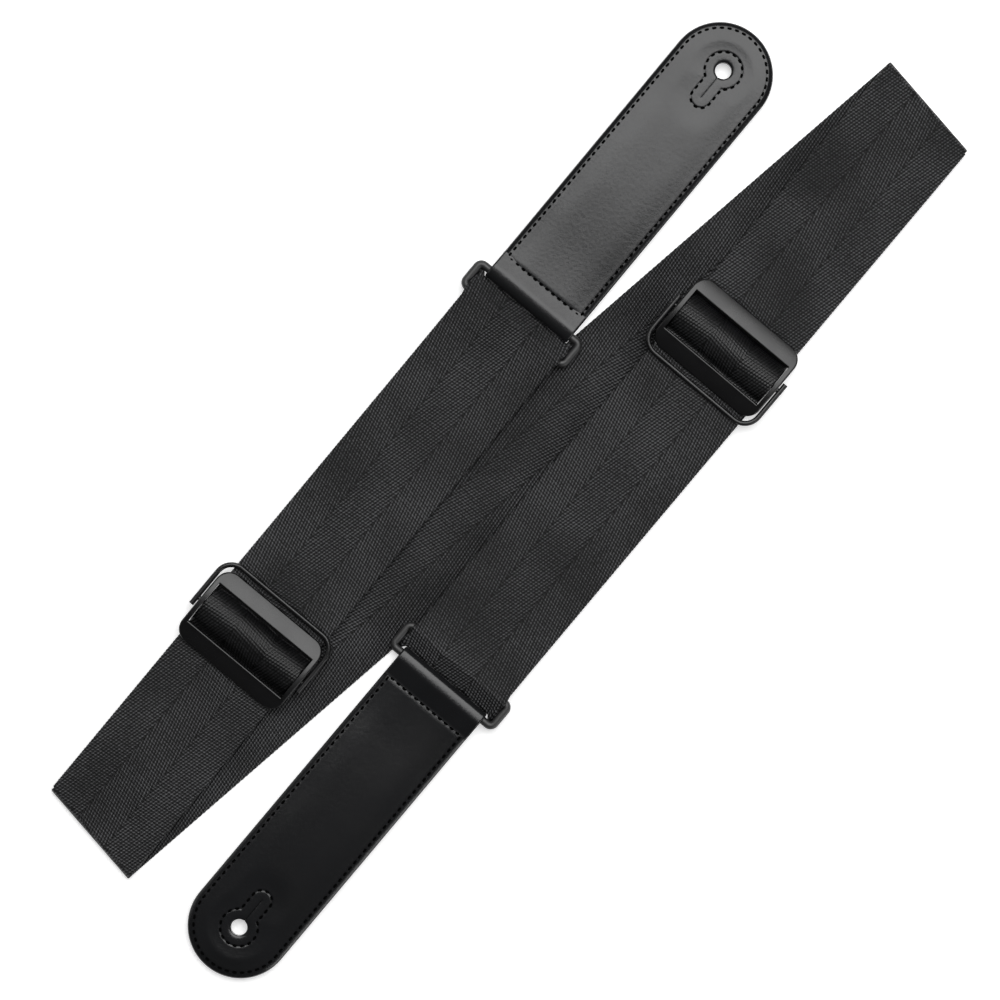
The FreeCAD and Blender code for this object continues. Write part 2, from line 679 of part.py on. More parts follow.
def build_edge_stitches(side, frame):
    """Row of thread that runs round the tab and across it beside the ring."""
    start = dim(f"{side}_seam")
    body = add_body(f"edge_stitches_{side}", placed(frame, start, leather_top))
    half = dim("leather_width") / 2
    centre = dim(f"{side}_tip") - half - start
    row = add_sketch(body, "Row")
    outer = half - dim("stitch_inset") + dim("thread_width") / 2
    draw_tab_outline(row, -dim("thread_width"), centre, outer)
    draw_tab_outline(row, 0.0, centre, outer - dim("thread_width"))
    add_pad(body, row, "Dims.thread_relief")


def draw_keyhole(sketch, half_thread):
    """Round eye with a slot towards -X that ends in a half circle."""
    eye = dim("keyhole_radius") + half_thread
    slot = dim("keyhole_slot_half") + half_thread
    end = -dim("keyhole_slot_end")
    meet = math.asin(slot / eye)
    join_x = -eye * math.cos(meet)
    around_eye = Part.Circle(vec(0, 0), vec(0, 0, 1), eye)
    around_end = Part.Circle(vec(end, 0), vec(0, 0, 1), slot)
    shapes = [Part.ArcOfCircle(around_eye, -math.pi + meet, math.pi - meet),
              Part.LineSegment(vec(join_x, slot), vec(end, slot)),
              Part.ArcOfCircle(around_end, math.pi / 2, 3 * math.pi / 2),
              Part.LineSegment(vec(end, -slot), vec(join_x, -slot))]
    for shape in shapes:
        index = sketch.addGeometry(shape, False)
        sketch.addConstraint(Sketcher.Constraint("Block", index))


def build_keyhole_stitches(side, frame):
    body = add_body(f"keyhole_stitches_{side}", placed(frame, dim(f"{side}_hole"), leather_top))
    row = add_sketch(body, "Row")
    for half_thread in (-dim("thread_width") / 2, dim("thread_width") / 2):
        draw_keyhole(row, half_thread)
    add_pad(body, row, "Dims.thread_relief")


# ---------------------------------------------------------------- both ends
def build_end(side):
    frame = fold_frame(side)
    build_fold(side)
    build_run(side, frame)
    build_hump(side, frame)
    build_sewn_end(side, frame)
    build_seam(side, frame)
    build_front_layer(side, frame)
    build_loop(side, frame)
    build_return_layer(side, frame)
    build_slider_frame(side, frame)
    build_slider_bar(side, frame)
    build_bail(side, frame)
    build_ring(side, frame)
    build_leather_front(side, frame)
    build_leather_core(side, frame)
    build_leather_back(side, frame)
    build_edge_stitches(side, frame)
    build_keyhole_stitches(side, frame)


for end_side in ("right", "left"):
    build_end(end_side)
doc.recompute()

failed = [item.Label for item in doc.Objects
          if any(word in state for state in item.State for word in ("Invalid", "Error"))]
if failed:
    raise RuntimeError(f"failed objects: {failed}")
os.makedirs("parts", exist_ok=True)
for part in parts:
    if part.Shape.isNull() or not part.Shape.isValid():
        raise RuntimeError(f"{part.Label} has no valid shape")
for part in parts:
    part.Shape.exportStep(os.path.join("parts", part.Label + ".step"))
print(len(parts), "parts written")
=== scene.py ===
import json
import math

import bmesh
import bpy
import numpy as np
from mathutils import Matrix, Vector


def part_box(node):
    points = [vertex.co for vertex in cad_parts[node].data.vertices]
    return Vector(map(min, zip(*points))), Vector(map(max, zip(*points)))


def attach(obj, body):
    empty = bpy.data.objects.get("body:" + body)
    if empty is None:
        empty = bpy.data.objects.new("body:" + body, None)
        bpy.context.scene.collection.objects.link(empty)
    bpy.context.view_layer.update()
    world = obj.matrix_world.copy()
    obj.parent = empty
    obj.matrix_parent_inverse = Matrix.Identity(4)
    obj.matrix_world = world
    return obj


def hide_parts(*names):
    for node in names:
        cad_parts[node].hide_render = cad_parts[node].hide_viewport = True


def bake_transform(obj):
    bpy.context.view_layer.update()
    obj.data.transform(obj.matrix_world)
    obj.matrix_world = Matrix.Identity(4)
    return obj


# The looks of a webbing guitar strap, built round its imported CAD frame.  Lengths are metres;
# MM turns millimetres into metres.

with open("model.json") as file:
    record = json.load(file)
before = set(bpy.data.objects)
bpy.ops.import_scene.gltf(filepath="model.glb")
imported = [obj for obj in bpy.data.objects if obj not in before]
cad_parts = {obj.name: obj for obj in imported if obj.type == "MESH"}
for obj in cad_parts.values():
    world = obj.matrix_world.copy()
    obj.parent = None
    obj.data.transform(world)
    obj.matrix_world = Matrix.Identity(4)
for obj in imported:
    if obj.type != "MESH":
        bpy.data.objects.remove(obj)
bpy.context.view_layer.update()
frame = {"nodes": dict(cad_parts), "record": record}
record = frame["record"]
joints = {joint["name"]: joint for joint in record["behaviour"]["joints"]}
mounts = {mount["name"]: mount for mount in record["mounts"]}

MM = 0.001
SIDES = ("right", "left")
UP = np.array((0.0, 0.0, 1.0))


# ---------------------------------------------------------------- camera, light and floor
CAMERA_HEIGHT = 1.8
CAMERA_SPOT = (-0.0091, -0.0059)
CAMERA_TURN = -49.0
FIELD_WIDTH = 0.424


def make_camera():
    """Straight above the strap, turned so that the strap runs up to the right."""
    data = bpy.data.cameras.new("camera")
    data.sensor_width = 36.0
    data.lens = data.sensor_width * CAMERA_HEIGHT / FIELD_WIDTH
    camera = bpy.data.objects.new("camera", data)
    camera.location = (*CAMERA_SPOT, CAMERA_HEIGHT)
    camera.rotation_euler = (0.0, 0.0, math.radians(CAMERA_TURN))
    bpy.context.scene.collection.objects.link(camera)
    bpy.context.scene.camera = camera


def add_area_light(name, place, size, power):
    """Rectangular light at a place, aimed at the origin."""
    data = bpy.data.lights.new(name, "AREA")
    data.shape = "RECTANGLE"
    data.size, data.size_y = size
    data.energy = power
    light = bpy.data.objects.new(name, data)
    light.location = place
    light.rotation_euler = Vector(place).to_track_quat("Z", "Y").to_euler()
    bpy.context.scene.collection.objects.link(light)


def make_lights():
    """One large softbox whose near edge is straight overhead, leaning to +X and a little to +Y,
    and weak fills."""
    add_area_light("key", (0.95, 0.33, 2.18), (2.44, 1.74), 53.0)
    add_area_light("side", (-0.4, -2.4, 1.0), (1.6, 0.8), 14.0)
    add_area_light("back", (-0.9, 2.2, 1.0), (1.6, 0.8), 4.0)
    world = bpy.data.worlds.new("studio")
    bpy.context.scene.world = world
    world.use_nodes = True
    background = world.node_tree.nodes["Background"]
    background.inputs["Color"].default_value = (1.0, 1.0, 1.0, 1.0)
    background.inputs["Strength"].default_value = 0.07
    bpy.context.scene.view_settings.view_transform = "Standard"


def make_floor(material):
    mesh = bpy.data.meshes.new("floor")
    half = 6.0
    low = -0.0002
    corners = [(-half, -half, low), (half, -half, low), (half, half, low), (-half, half, low)]
    mesh.from_pydata(corners, [], [(0, 1, 2, 3)])
    floor = bpy.data.objects.new("floor", mesh)
    bpy.context.scene.collection.objects.link(floor)
    mesh.materials.append(material)


# ---------------------------------------------------------------- node helpers
class Nodes:
    """Short way to write a node material."""

    def __init__(self, name):
        self.material = bpy.data.materials.new(name)
        self.material.use_nodes = True
        self.tree = self.material.node_tree
        self.shader = self.tree.nodes["Principled BSDF"]

    def add(self, kind, **settings):
        node = self.tree.nodes.new(kind)
        for key, value in settings.items():
            setattr(node, key, value)
        return node

    def feed(self, socket, value):
        if isinstance(value, bpy.types.NodeSocket):
            self.tree.links.new(value, socket)
        else:
            socket.default_value = value

    def math(self, operation, *values):
        node = self.add("ShaderNodeMath", operation=operation)
        for socket, value in zip(node.inputs, values):
            self.feed(socket, value)
        return node.outputs[0]

    def noise(self, vector, scale, detail=2.0, roughness=0.5):
        node = self.add("ShaderNodeTexNoise")
        self.feed(node.inputs["Vector"], vector)
        node.inputs["Scale"].default_value = scale
        node.inputs["Detail"].default_value = detail
        node.inputs["Roughness"].default_value = roughness
        return node.outputs["Fac"]

    def spread(self, value, low, high, from_low=0.0, from_high=1.0):
        node = self.add("ShaderNodeMapRange")
        self.feed(node.inputs["Value"], value)
        node.inputs["From Min"].default_value = from_low
        node.inputs["From Max"].default_value = from_high
        node.inputs["To Min"].default_value = low
        node.inputs["To Max"].default_value = high
        return node.outputs["Result"]

    def ramp(self, value, *stops):
        node = self.add("ShaderNodeValToRGB")
        self.feed(node.inputs["Fac"], value)
        band = node.color_ramp
        while len(band.elements) < len(stops):
            band.elements.new(0.5)
        for element, (place, colour) in zip(band.elements, stops):
            element.position = place
            element.color = (*colour, 1.0)
        return node.outputs["Color"]

    def bump(self, height, distance, strength=1.0, under=None):
        node = self.add("ShaderNodeBump")
        self.feed(node.inputs["Height"], height)
        node.inputs["Distance"].default_value = distance
        node.inputs["Strength"].default_value = strength
        if under is not None:
            self.feed(node.inputs["Normal"], under)
        return node.outputs["Normal"]

    def place(self):
        return self.add("ShaderNodeTexCoord").outputs["Object"]

    def set(self, **values):
        for key, value in values.items():
            self.feed(self.shader.inputs[key.replace("_", " ")], value)


# The weave, in millimetres.  A set of threads has (cycles along the strap, cycles across a band).
WEBBING_BAND = 50.0 / 3
RIB = (0.2, 0.76)
PICK = (0.8, 0.1)
CORD_STEP = 0.4
# What ribs, picks and cords add to the tone, and ribs, picks and fuzz to the relief.
RIB_TONE, PICK_TONE, CORD_TONE = 0.25, 0.21, 0.04
RIB_RELIEF, PICK_RELIEF, FUZZ_RELIEF = 0.34, 0.19, 0.12
RELIEF_DEPTH = 0.00044
PATCH_SCALE = 26.0
FUZZ_SCALE = 1500.0
WEBBING_SHADES = (
    (0.12, (0.0004, 0.0004, 0.0005)),
    (0.5, (0.006, 0.0062, 0.0067)),
    (1.0, (0.1, 0.101, 0.106)),
)


def webbing_material(name="webbing", depth=1.0, tone=1.0, rough=0.54, smooth=0.3):
    """Black herringbone webbing: long steep ribs that turn back at the edges of three bands.
    depth scales the relief of the threads and tone their paleness.  The roughness falls from
    rough in the gaps to smooth on the threads."""
    nodes = Nodes(name)
    strap = nodes.add("ShaderNodeAttribute", attribute_name="strap").outputs["Vector"]
    parts = nodes.add("ShaderNodeSeparateXYZ")
    nodes.feed(parts.inputs[0], strap)
    along = nodes.math("MULTIPLY", parts.outputs[0], 1000.0)
    across = nodes.math("MULTIPLY", parts.outputs[1], 1000.0)
    face = parts.outputs[2]
    turned = nodes.math("PINGPONG", nodes.math("ADD", across, WEBBING_BAND * 2.5), WEBBING_BAND)
    reverse = nodes.math("SUBTRACT", WEBBING_BAND, nodes.math("MULTIPLY", turned, 2.0))
    turned = nodes.math("ADD", turned, nodes.math("MULTIPLY", face, reverse))

    def ridge(steps, lean):
        cycles = nodes.math("ADD", nodes.math("MULTIPLY", along, steps),
                            nodes.math("MULTIPLY", turned, lean))
        return nodes.math("COSINE", nodes.math("MULTIPLY", cycles, 2 * math.pi))

    rib = ridge(*RIB)
    pick = ridge(*PICK)
    cord = ridge(CORD_STEP, 0.0)
    weave = nodes.math("ADD", nodes.math("MULTIPLY", rib, RIB_TONE),
                       nodes.math("MULTIPLY", pick, PICK_TONE))
    weave = nodes.math("ADD", weave, nodes.math("MULTIPLY", cord, CORD_TONE))
    weave = nodes.math("ADD", weave, 0.5)
    position = nodes.place()
    patches = nodes.noise(position, PATCH_SCALE, 2.0)
    fuzz = nodes.noise(position, FUZZ_SCALE, 3.0)
    grain = nodes.math("ADD", weave, nodes.spread(fuzz, -0.2, 0.2, 0.3, 0.7))
    from_turn = nodes.math("PINGPONG", turned, WEBBING_BAND / 2)
    line = nodes.spread(from_turn, 0.72, 1.0, 0.1, 0.6)
    # Broad patches up to a fifth lighter or darker than the weave: painted shade standing in for
    # the soft shading of gently uneven webbing, not wear.
    painted_shade_patches = nodes.spread(patches, 0.82, 1.2, 0.3, 0.7)
    toned = nodes.math("MULTIPLY", grain, nodes.math("MULTIPLY", line, painted_shade_patches))
    stops = [(place, tuple(tone * part for part in paint)) for place, paint in WEBBING_SHADES]
    colour = nodes.ramp(toned, *stops)
    threads = nodes.math("ADD", nodes.math("MULTIPLY", rib, RIB_RELIEF),
                         nodes.math("MULTIPLY", pick, PICK_RELIEF))
    relief = nodes.math("ADD", threads, nodes.math("MULTIPLY", fuzz, FUZZ_RELIEF))
    normal = nodes.bump(relief, RELIEF_DEPTH * depth)
    nodes.set(Base_Color=colour, Roughness=nodes.spread(weave, rough, smooth), Normal=normal,
              Specular_IOR_Level=0.34)
    return nodes.material


def leather_material():
    """Smooth black leather with a fine grain and faint cloudy wear."""
    nodes = Nodes("leather")
    position = nodes.place()
    cells = nodes.add("ShaderNodeTexVoronoi", feature="DISTANCE_TO_EDGE")
    nodes.feed(cells.inputs["Vector"], position)
    cells.inputs["Scale"].default_value = 1500.0
    pores = nodes.spread(cells.outputs["Distance"], 0.0, 1.0, 0.0, 0.12)
    creases = nodes.noise(position, 650.0, 2.0, 0.5)
    clouds = nodes.noise(position, 45.0, 3.0, 0.55)
    fine = nodes.bump(pores, 0.000012, 0.4)
    normal = nodes.bump(creases, 0.00008, 0.5, fine)
    colour = nodes.ramp(clouds, (0.3, (0.005, 0.0052, 0.0058)), (0.7, (0.009, 0.0093, 0.0104)))
    rough = nodes.spread(clouds, 0.26, 0.2, 0.3, 0.7)
    nodes.set(Base_Color=colour, Roughness=rough, Normal=normal, Specular_IOR_Level=0.5)
    return nodes.material


def hardware_material(name, smooth, rough, shine):
    """Black finish on metal between two roughnesses, a little paler where it is rubbed."""
    nodes = Nodes(name)
    position = nodes.place()
    specks = nodes.noise(position, 900.0, 3.0)
    clouds = nodes.noise(position, 90.0, 3.0)
    edge = nodes.add("ShaderNodeNewGeometry").outputs["Pointiness"]
    rubbed = nodes.spread(edge, 0.0, 1.0, 0.5, 0.62)
    colour = nodes.ramp(rubbed, (0.0, (0.003, 0.003, 0.0033)), (1.0, (0.014, 0.014, 0.015)))
    normal = nodes.bump(specks, 0.00001, 0.2)
    roughness = nodes.spread(clouds, smooth, rough, 0.3, 0.7)
    nodes.set(Base_Color=colour, Roughness=roughness, Normal=normal, Specular_IOR_Level=shine)
    return nodes.material


def thread_material(name, pale):
    nodes = Nodes(name)
    position = nodes.place()
    strands = nodes.add("ShaderNodeTexWave", wave_type="BANDS", bands_direction="DIAGONAL")
    nodes.feed(strands.inputs["Vector"], position)
    strands.inputs["Scale"].default_value = 1300.0
    colour = nodes.ramp(strands.outputs["Fac"], (0.0, (pale * 0.35,) * 3), (1.0, (pale,) * 3))
    nodes.set(Base_Color=colour, Roughness=0.75, Normal=nodes.bump(strands.outputs["Fac"], 0.00005),
              Specular_IOR_Level=0.03)
    return nodes.material


def floor_material():
    nodes = Nodes("floor")
    tone = nodes.noise(nodes.place(), 3.0)
    colour = nodes.ramp(tone, (0.0, (0.9, 0.9, 0.9)), (1.0, (0.94, 0.94, 0.94)))
    nodes.set(Base_Color=colour, Roughness=0.9, Emission_Color=(1.0, 1.0, 1.0, 1.0),
              Emission_Strength=0.5)
    return nodes.material


# ---------------------------------------------------------------- one end's own frame
class FloorFrame:
    """A frame standing on the floor: an origin, its X and its Y; Z is up."""

    def world(self, points):
        points = np.asarray(points, float)
        x, y, z = points[..., :1], points[..., 1:2], points[..., 2:]
        return self.origin + x * self.x + y * self.y + z * UP


class End(FloorFrame):
    """One end of the strap: X from the slider's centre towards the ring, Z up from the floor."""

    def __init__(self, side):
        self.side = side
        self.x = np.array(joints[f"slider_slide_{side}"]["axis"])
        self.y = np.cross(UP, self.x)
        slider = np.array(joints[f"bail_swing_{side}"]["pos_m"])
        self.bar_height = slider[2]
        self.origin = slider * (1.0, 1.0, 0.0)
        self.fold = self.local(joints[f"fold_{side}"]["pos_m"])
        self.strap_bar = self.local(joints[f"ring_tilt_{side}"]["pos_m"])
        self.bar_of_ring = self.strap_bar[2]
        self.leather_bar = self.local(joints[f"tab_tilt_{side}"]["pos_m"])
        self.hole = self.local(mounts[f"button_hole_{side}"]["pos_m"])

    def local(self, place):
        offset = np.array(place) - self.origin
        return np.array((offset @ self.x, offset @ self.y, offset[2]))

    def extent(self, node):
        """Lowest and highest corner of a CAD node in this frame."""
        mesh = frame["nodes"][f"{node}_{self.side}"].data
        places = np.empty(len(mesh.vertices) * 3)
        mesh.vertices.foreach_get("co", places)
        offset = places.reshape(-1, 3) - self.origin
        turned = np.stack((offset @ self.x, offset @ self.y, offset[:, 2]), axis=1)
        return turned.min(axis=0), turned.max(axis=0)


ends = {side: End(side) for side in SIDES}
middle_low, middle_high = (np.array(corner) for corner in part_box("webbing_middle"))
THICK = middle_high[2] - middle_low[2]


# ---------------------------------------------------------------- mesh helpers
def link_mesh(name, points, faces, material, strap=None):
    mesh = bpy.data.meshes.new(name)
    mesh.from_pydata([tuple(point) for point in points], [], faces)
    if strap is not None:
        attribute = mesh.attributes.new("strap", "FLOAT_VECTOR", "POINT")
        attribute.data.foreach_set("vector", np.asarray(strap, np.float32).ravel())
    mesh.materials.append(material)
    mesh.polygons.foreach_set("use_smooth", [True] * len(mesh.polygons))
    mesh.update()
    piece = bpy.data.objects.new(name, mesh)
    bpy.context.scene.collection.objects.link(piece)
    return piece


def trace(start, heading, moves, step=0.8 * MM):
    """Points (x, z) along straight runs and tangent arcs; a positive arc turns anticlockwise."""
    here = np.array(start, float)
    angle = math.radians(heading)
    points = [here]
    for kind, size, *turn in moves:
        if kind == "line":
            count = max(1, round(size / step))
            direction = np.array((math.cos(angle), math.sin(angle)))
            points += [here + direction * size * part / count for part in range(1, count + 1)]
        else:
            sweep = math.radians(turn[0])
            side = math.copysign(size, sweep)
            centre = here + np.array((-math.sin(angle), math.cos(angle))) * side
            count = max(3, round(abs(sweep) * size / (step * 0.5)))
            for part in range(1, count + 1):
                facing = angle + sweep * part / count
                points.append(centre - np.array((-math.sin(facing), math.cos(facing))) * side)
            angle += sweep
        here = points[-1]
    return np.array(points)


def ramp_moves(height, slope, first_radius, last_radius):
    """Moves of an S-shaped change of height for a path heading along +X, and its run."""
    angle = math.radians(slope)
    radii = first_radius + last_radius
    straight = (abs(height) - radii * (1 - math.cos(angle))) / math.sin(angle)
    turn = math.copysign(slope, height)
    moves = [("arc", first_radius, turn), ("line", straight), ("arc", last_radius, -turn)]
    return moves, radii * math.sin(angle) + straight * math.cos(angle)


def mirrored(moves):
    return [(move[0], move[1], *[-turn for turn in move[2:]]) for move in moves]


def strip_section(half, thick, columns):
    """Closed outline (across, up) of a woven strip with soft, slightly thinner edges."""
    round_edge = thick / 2
    inner = half - round_edge
    top = [(inner * math.sin(0.5 * math.pi * part), thick / 2)
           for part in np.linspace(-1, 1, columns)]
    right = [(inner + round_edge * math.sin(angle), round_edge * math.cos(angle))
             for angle in np.radians((45, 90, 135))]
    bottom = [(across, -up) for across, up in reversed(top)]
    left = [(-across, -up) for across, up in right]
    return np.array(top + right + bottom + left)


STRIP_COLUMNS = 22
FLARE_BAND = 2.5 * MM
FLARE_EASE = 1.0 * MM


def strip_rows(end, path, half, thick, start_arc, face, skew=None, relief=None, jag=0.0,
               swell=None, flare=None):
    """Section points and weave coordinates of a strip along a path of (x, z) points, and the arc
    length at its end.  skew leans each section along the path, per metre across; relief adds
    height at (x, y); jag narrows every other section; swell widens a section; flare draws the
    edges of a section forward along x."""
    section = strip_section(half, thick, STRIP_COLUMNS)
    count = len(path)
    steps = np.diff(path, axis=0)
    arc = start_arc + np.concatenate(([0.0], np.cumsum(np.hypot(steps[:, 0], steps[:, 1]))))
    tangent = np.gradient(path, axis=0)
    tangent /= np.hypot(tangent[:, 0], tangent[:, 1])[:, None]
    normal = np.stack((-tangent[:, 1], tangent[:, 0]), axis=1)
    lean = np.zeros(count) if skew is None else skew
    points = np.empty((count, len(section), 3))
    strap = np.empty((count, len(section), 3))
    edge = np.clip((np.abs(section[:, 0]) - (half - thick)) / thick, 0.0, 1.0)
    for row in range(count):
        wide = 1.0 if swell is None else 1.0 + swell[row]
        across = section[:, 0] * (wide - jag * edge / half * (row % 2))
        x = path[row, 0] + normal[row, 0] * section[:, 1] + tangent[row, 0] * lean[row] * across
        z = path[row, 1] + normal[row, 1] * section[:, 1] + tangent[row, 1] * lean[row] * across
        if relief is not None:
            z = z + relief(row / (count - 1), x, across)
        if flare is not None:
            outer = np.clip((np.abs(across) - (half - FLARE_BAND)) / FLARE_EASE, 0.0, 1.0)
            x = x + flare[row] * outer
        points[row] = np.stack((x, across, z), axis=1)
        strap[row] = np.stack((arc[row] + lean[row] * across, across,
                               np.full(len(section), face)), axis=1)
    return end.world(points), strap, arc[-1]


def strip_mesh(name, points, strap, material):
    """Closed mesh through rows of section points."""
    count, width = points.shape[:2]
    faces = []
    for row in range(count - 1):
        for column in range(width):
            following = (column + 1) % width
            faces.append((row * width + column, row * width + following,
                          (row + 1) * width + following, (row + 1) * width + column))
    faces.append(tuple(range(width))[::-1])
    faces.append(tuple((count - 1) * width + column for column in range(width)))
    piece = link_mesh(name, points.reshape(-1, 3), faces, material, strap.reshape(-1, 3))
    fix_normals(piece)
    shade(piece, 60.0)
    return piece


def sweep(name, end, path, material, half, thick, start_arc=0.0, face=0.0, **shape):
    """Solid strip along a path, and the arc length at its end."""
    points, strap, arc = strip_rows(end, path, half, thick, start_arc, face, **shape)
    return strip_mesh(name, points, strap, material), arc


def fix_normals(piece):
    work = bmesh.new()
    work.from_mesh(piece.data)
    bmesh.ops.recalc_face_normals(work, faces=work.faces)
    work.to_mesh(piece.data)
    work.free()


# ---------------------------------------------------------------- webbing
HALF_WEB = 25.0 * MM
GAP = 0.05 * MM
RIPPLE = 0.35 * MM
EDGE_JAG = 0.16 * MM
RETURN_RIPPLE = 0.2 * MM
FOOT_RADIUS = 2 * MM
# the fold, and the run's first stretch, whose sections lean with the fold's line
FOLD_LEAD = 12 * MM
LEAN_EASE = 30 * MM
# the hump over the slider's centre bar
HUMP_SWELL = 0.019
HUMP_RISE = 52.0
HUMP_FALL = 50.0
CREST_RADIUS = 9.5 * MM
CREST_RISE = 0.7 * MM
# the sewn end round the centre bar: slopes above and below the bar
SEWN_FALL = 50.0
SEWN_RISE = 30.0
# the front layer: settling behind the slider, then the climb to the ring
SETTLE_SLOPE = 4.0
SETTLE_RADIUS = 60 * MM
CLIMB_SLOPE = 12.0
CLIMB_BEND = 30 * MM
# the loop round the ring, with its drooping tip
LOOP_LEAD = 3 * MM
LOOP_DROOP = 25.5
TIP_RADIUS = 0.95 * MM
TIP_EXTRA = 0.15 * MM
FLARE = 1.8 * MM
LOOP_SWELL = 0.025


def ripple(seed, size=RIPPLE):
    """Gentle unevenness that fades out at both ends of a stretch."""
    def relief(part, x, across):
        fade = math.sin(math.pi * part) ** 0.7 if 0 < part < 1 else 0.0
        wave = np.sin(x * 75.0 + seed) + 0.6 * np.sin(x * 140.0 + across * 60.0 + 2 * seed)
        return size * fade * wave * (0.6 + 0.4 * np.cos(across * 90.0 + seed))
    return relief


class MiddleFrame(FloorFrame):
    """The middle stretch's own frame, X from the right end's fold to the left end's."""

    def __init__(self):
        start, finish = (np.array(joints[f"fold_{side}"]["pos_m"]) for side in SIDES)
        span = (finish - start) * (1.0, 1.0, 0.0)
        self.length = float(np.linalg.norm(span))
        self.x = span / self.length
        self.y = np.cross(UP, self.x)
        self.origin = start * (1.0, 1.0, 0.0)


middle_frame = MiddleFrame()
FOLD_HEIGHT = joints["fold_right"]["pos_m"][2]
FOLD_RADIUS = FOLD_HEIGHT - THICK / 2


def make_middle(material):
    length = middle_frame.length - 2 * FOLD_LEAD
    path = trace((FOLD_LEAD, THICK / 2), 0.0, [("line", length)], 1.2 * MM)
    piece, _ = sweep("webbing_middle_cloth", middle_frame, path, material, HALF_WEB, THICK,
                     jag=EDGE_JAG)
    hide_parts("webbing_middle")
    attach(piece, "strap_middle")


class BendFrame(FloorFrame):
    """Frame of a fold: origin under its axis, X towards the middle of the strap."""

    def __init__(self, end):
        towards = 1.0 if end.side == "right" else -1.0
        self.x = middle_frame.x * towards
        self.y = np.cross(UP, self.x)
        self.origin = np.array(joints[f"fold_{end.side}"]["pos_m"]) * (1.0, 1.0, 0.0)


def run_shape(end):
    """Height of the run, and the lean of its sections where they follow the fold's line."""
    low, high = end.extent("webbing_run")
    bend = BendFrame(end)
    lean = (bend.y @ end.x) / (bend.y @ end.y)

    def skew(x):
        return lean * np.clip(1 - (x - end.fold[0]) / LEAN_EASE, 0, 1) ** 2

    return (low[2] + high[2]) / 2, skew


def make_fold(end, material):
    """The turned-back end of the middle and the first of the run above it, in one piece."""
    bend = BendFrame(end)
    mid, skew = run_shape(end)
    turn = [("line", FOLD_LEAD), ("arc", FOLD_RADIUS, -180.0)]
    under = trace((FOLD_LEAD, THICK / 2), 180.0, turn, 0.5 * MM)
    over = trace((end.fold[0], mid), 0.0, [("line", FOLD_LEAD)])
    low_points, low_strap, arc = strip_rows(bend, under, HALF_WEB, THICK, 0.0, 1.0, jag=EDGE_JAG)
    top_points, top_strap, arc = strip_rows(end, over, HALF_WEB, THICK, arc, 1.0,
                                            skew=skew(over[:, 0]), jag=EDGE_JAG)
    points = np.concatenate((low_points[:-1], top_points))
    strap = np.concatenate((low_strap[:-1], top_strap))
    piece = strip_mesh(f"webbing_fold_cloth_{end.side}", points, strap, material)
    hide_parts(f"webbing_fold_{end.side}")
    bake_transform(piece)
    return arc


def make_run(end, material, arc):
    """Webbing from the fold to the slider."""
    mid, skew = run_shape(end)
    hump_low, _ = end.extent("webbing_hump")
    start = end.fold[0] + FOLD_LEAD
    length = hump_low[0] - start
    path = trace((start, mid), 0.0, [("line", length)])
    piece, arc = sweep(f"webbing_run_cloth_{end.side}", end, path, material, HALF_WEB, THICK, arc,
                       1.0, skew=skew(path[:, 0]), relief=ripple(1.0), jag=EDGE_JAG)
    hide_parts(f"webbing_run_{end.side}")
    end.world((start, 0.0, mid))
    end.world((hump_low[0], 0.0, mid))
    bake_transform(piece)
    return arc


def bar_sizes(end):
    """Half flat length and radius of the path round the centre bar."""
    low, high = end.extent("slider_bar")
    half_thick = (high[2] - low[2]) / 2
    return (high[0] - low[0]) / 2 - half_thick, half_thick + GAP + THICK / 2


def make_hump(end, material, arc):
    """Webbing over the slider's centre bar; also gives the height at which it leaves the bar."""
    low, high = end.extent("webbing_hump")
    _, wrap_radius = bar_sizes(end)
    entry = low[2] + THICK / 2
    crest = end.bar_height + wrap_radius + THICK + GAP + CREST_RISE
    exit_mid = end.extent("webbing_sewn_end")[0][2] + 2.5 * THICK + 2 * GAP
    rise, rise_run = ramp_moves(crest - entry, HUMP_RISE, FOOT_RADIUS, CREST_RADIUS)
    fall, fall_run = ramp_moves(exit_mid - crest, HUMP_FALL, CREST_RADIUS, FOOT_RADIUS)
    moves = [("line", -low[0] - rise_run)] + rise + fall + [("line", high[0] - fall_run)]
    path = trace((low[0], entry), 0.0, moves, 0.6 * MM)
    frame_low, frame_high = end.extent("slider_frame")
    window = frame_high[0] - frame_low[0]
    swell = HUMP_SWELL * np.clip(2.0 - 4.0 * np.abs(path[:, 0]) / window, 0, 1)
    piece, new_arc = sweep(f"webbing_hump_cloth_{end.side}", end, path, material, HALF_WEB, THICK,
                           arc, 1.0, jag=EDGE_JAG, swell=swell)
    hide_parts(f"webbing_hump_{end.side}")
    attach(piece, f"slider_{end.side}")
    return new_arc, exit_mid


def make_sewn_end(end, material, arc):
    """The webbing's end, turned round the centre bar and back onto the return layer."""
    low, high = end.extent("webbing_sewn_end")
    sewn = high[0]
    half_flat, radius = bar_sizes(end)
    return_mid = low[2] + THICK / 2
    tail_mid = return_mid + THICK + GAP
    fall, fall_run = ramp_moves(tail_mid - end.bar_height - radius, SEWN_FALL, radius,
                                FOOT_RADIUS + THICK + GAP)
    flat = sewn - half_flat - fall_run
    rise, rise_run = ramp_moves(end.bar_height - radius - return_mid, SEWN_RISE,
                                FOOT_RADIUS + 2 * (THICK + GAP), FOOT_RADIUS)
    moves = [("line", flat)] + mirrored(rise) + [("line", sewn + half_flat - flat - rise_run)]
    moves += [("arc", radius, -180.0), ("line", 2 * half_flat)] + fall + [("line", flat)]
    path = trace((sewn, return_mid), 180.0, moves, 0.6 * MM)
    piece, new_arc = sweep(f"webbing_sewn_cloth_{end.side}", end, path, material, HALF_WEB, THICK,
                           arc, jag=EDGE_JAG)
    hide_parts(f"webbing_sewn_end_{end.side}")
    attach(piece, f"slider_{end.side}")


